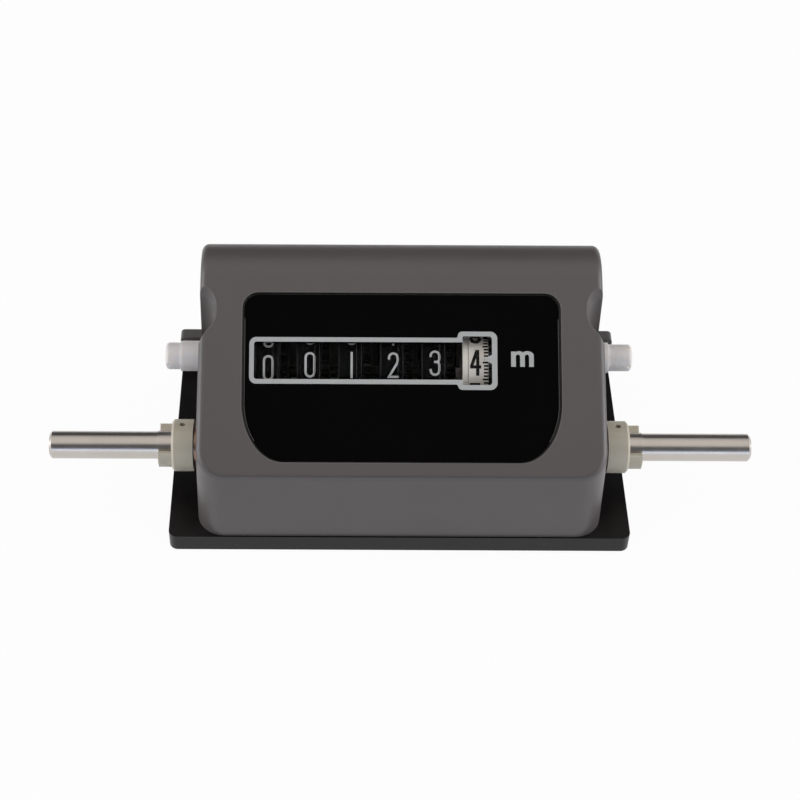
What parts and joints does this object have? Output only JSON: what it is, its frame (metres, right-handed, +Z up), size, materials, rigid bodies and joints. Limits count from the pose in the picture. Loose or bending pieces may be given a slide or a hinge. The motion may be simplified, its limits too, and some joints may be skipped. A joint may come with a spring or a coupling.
{
  "type": "cable length counter",
  "caption": "Mechanical length counter with a through drive shaft, number wheels under a sloping window, side reset knobs and a flat mounting base.",
  "frame": {"origin": "on the underside of the base, under the middle of the object's box", "axes": "+X along the drive shaft to the right seen from the front, +Y from the front of the base to its rear, +Z up"},
  "size_m": [0.177, 0.0632, 0.057],
  "materials": {
    "black_base": "matt black paint on a flat plate",
    "grey_housing": "warm dark grey moulding, satin",
    "black_fascia": "glossy black sheet with pale grey printed outlines",
    "clear_window": "clear plastic window",
    "zinc_steel": "zinc plated pressed steel",
    "bright_steel": "ground bright steel",
    "bronze_bush": "sintered bronze",
    "brass_gear": "machined brass",
    "ivory_nylon": "natural ivory nylon",
    "clear_white_knob": "translucent natural white plastic",
    "white_wheel": "white moulding with black print",
    "black_wheel": "black moulding with grey print",
    "grey_pinion": "grey acetal"
  },
  "bodies": {
    "case": {"base_plate": "black_base", "housing": "grey_housing", "fascia": "black_fascia", "window_lens": "clear_window", "frame_plate_left": "zinc_steel", "frame_plate_right": "zinc_steel", "shaft_bush_left": "bronze_bush", "shaft_bush_right": "bronze_bush", "tie_rod_front": "zinc_steel", "tie_rod_rear": "zinc_steel", "tie_rod_top": "zinc_steel", "tie_rod_screws": "zinc_steel", "frame_screws": "zinc_steel", "cover_screws": "zinc_steel", "wheel_spacers": "bright_steel", "pinion_shaft": "bright_steel", "pinion_spacers": "bright_steel"},
    "drive": {"drive_shaft": "bright_steel", "shaft_collar_left": "ivory_nylon", "shaft_collar_right": "ivory_nylon", "collar_pin_left": "bright_steel", "collar_pin_right": "bright_steel", "shaft_clips": "zinc_steel", "drive_gear": "brass_gear", "drive_gear_screw": "zinc_steel"},
    "reset_left": {"reset_knob_left": "clear_white_knob", "reset_stub_left": "bright_steel"},
    "reset_right": {"reset_knob_right": "clear_white_knob", "reset_stub_right": "bright_steel"},
    "reset_shaft": {"wheel_shaft": "bright_steel", "reset_gear_left": "brass_gear", "reset_gear_right": "brass_gear"},
    "wheel_tenths": {"number_wheel_tenths": "white_wheel"},
    "wheel_units": {"number_wheel_units": "black_wheel"},
    "wheel_tens": {"number_wheel_tens": "black_wheel"},
    "wheel_hundreds": {"number_wheel_hundreds": "black_wheel"},
    "wheel_thousands": {"number_wheel_thousands": "black_wheel"},
    "wheel_ten_thousands": {"number_wheel_ten_thousands": "black_wheel"},
    "pinion_units": {"carry_pinion_units": "grey_pinion"},
    "pinion_tens": {"carry_pinion_tens": "grey_pinion"},
    "pinion_hundreds": {"carry_pinion_hundreds": "grey_pinion"},
    "pinion_thousands": {"carry_pinion_thousands": "grey_pinion"},
    "pinion_ten_thousands": {"carry_pinion_ten_thousands": "grey_pinion"}
  },
  "joints": [
    {"name": "drive_spin", "type": "hinge", "parent": "case", "child": "drive", "pos_m": [0, -0.01384, 0.01989], "axis": [1, 0, 0], "continuous": true},
    {"name": "reset_spin_left", "type": "hinge", "parent": "case", "child": "reset_left", "pos_m": [0, 0.00316, 0.03485], "axis": [1, 0, 0], "continuous": true},
    {"name": "reset_spin_right", "type": "hinge", "parent": "case", "child": "reset_right", "pos_m": [0, 0.00316, 0.03485], "axis": [1, 0, 0], "continuous": true},
    {"name": "reset_shaft_spin", "type": "hinge", "parent": "case", "child": "reset_shaft", "pos_m": [0, 0.00255, 0.02989], "axis": [1, 0, 0], "continuous": true},
    {"name": "wheel_spin_tenths", "type": "hinge", "parent": "case", "child": "wheel_tenths", "pos_m": [0, 0.00255, 0.02989], "axis": [1, 0, 0], "continuous": true},
    {"name": "wheel_spin_units", "type": "hinge", "parent": "case", "child": "wheel_units", "pos_m": [0, 0.00255, 0.02989], "axis": [1, 0, 0], "continuous": true},
    {"name": "pinion_spin_units", "type": "hinge", "parent": "case", "child": "pinion_units", "pos_m": [0, 0.01025, 0.01656], "axis": [1, 0, 0], "continuous": true},
    {"name": "wheel_spin_tens", "type": "hinge", "parent": "case", "child": "wheel_tens", "pos_m": [0, 0.00255, 0.02989], "axis": [1, 0, 0], "continuous": true},
    {"name": "pinion_spin_tens", "type": "hinge", "parent": "case", "child": "pinion_tens", "pos_m": [0, 0.01025, 0.01656], "axis": [1, 0, 0], "continuous": true},
    {"name": "wheel_spin_hundreds", "type": "hinge", "parent": "case", "child": "wheel_hundreds", "pos_m": [0, 0.00255, 0.02989], "axis": [1, 0, 0], "continuous": true},
    {"name": "pinion_spin_hundreds", "type": "hinge", "parent": "case", "child": "pinion_hundreds", "pos_m": [0, 0.01025, 0.01656], "axis": [1, 0, 0], "continuous": true},
    {"name": "wheel_spin_thousands", "type": "hinge", "parent": "case", "child": "wheel_thousands", "pos_m": [0, 0.00255, 0.02989], "axis": [1, 0, 0], "continuous": true},
    {"name": "pinion_spin_thousands", "type": "hinge", "parent": "case", "child": "pinion_thousands", "pos_m": [0, 0.01025, 0.01656], "axis": [1, 0, 0], "continuous": true},
    {"name": "wheel_spin_ten_thousands", "type": "hinge", "parent": "case", "child": "wheel_ten_thousands", "pos_m": [0, 0.00255, 0.02989], "axis": [1, 0, 0], "continuous": true},
    {"name": "pinion_spin_ten_thousands", "type": "hinge", "parent": "case", "child": "pinion_ten_thousands", "pos_m": [0, 0.01025, 0.01656], "axis": [1, 0, 0], "continuous": true}
  ],
  "couplings": [
    {"joint": "reset_spin_right", "follows": "reset_spin_left", "ratio": 1},
    {"joint": "reset_shaft_spin", "follows": "reset_spin_left", "ratio": -1},
    {"joint": "wheel_spin_tenths", "follows": "drive_spin", "ratio": -0.5},
    {"joint": "wheel_spin_units", "follows": "drive_spin", "ratio": -0.05},
    {"joint": "pinion_spin_units", "follows": "drive_spin", "ratio": 0.125},
    {"joint": "wheel_spin_tens", "follows": "drive_spin", "ratio": -0.005},
    {"joint": "pinion_spin_tens", "follows": "drive_spin", "ratio": 0.0125},
    {"joint": "wheel_spin_hundreds", "follows": "drive_spin", "ratio": -0.0005},
    {"joint": "pinion_spin_hundreds", "follows": "drive_spin", "ratio": 0.00125},
    {"joint": "wheel_spin_thousands", "follows": "drive_spin", "ratio": -0.00005},
    {"joint": "pinion_spin_thousands", "follows": "drive_spin", "ratio": 0.000125},
    {"joint": "wheel_spin_ten_thousands", "follows": "drive_spin", "ratio": -0.000005},
    {"joint": "pinion_spin_ten_thousands", "follows": "drive_spin", "ratio": 0.0000125}
  ]
}
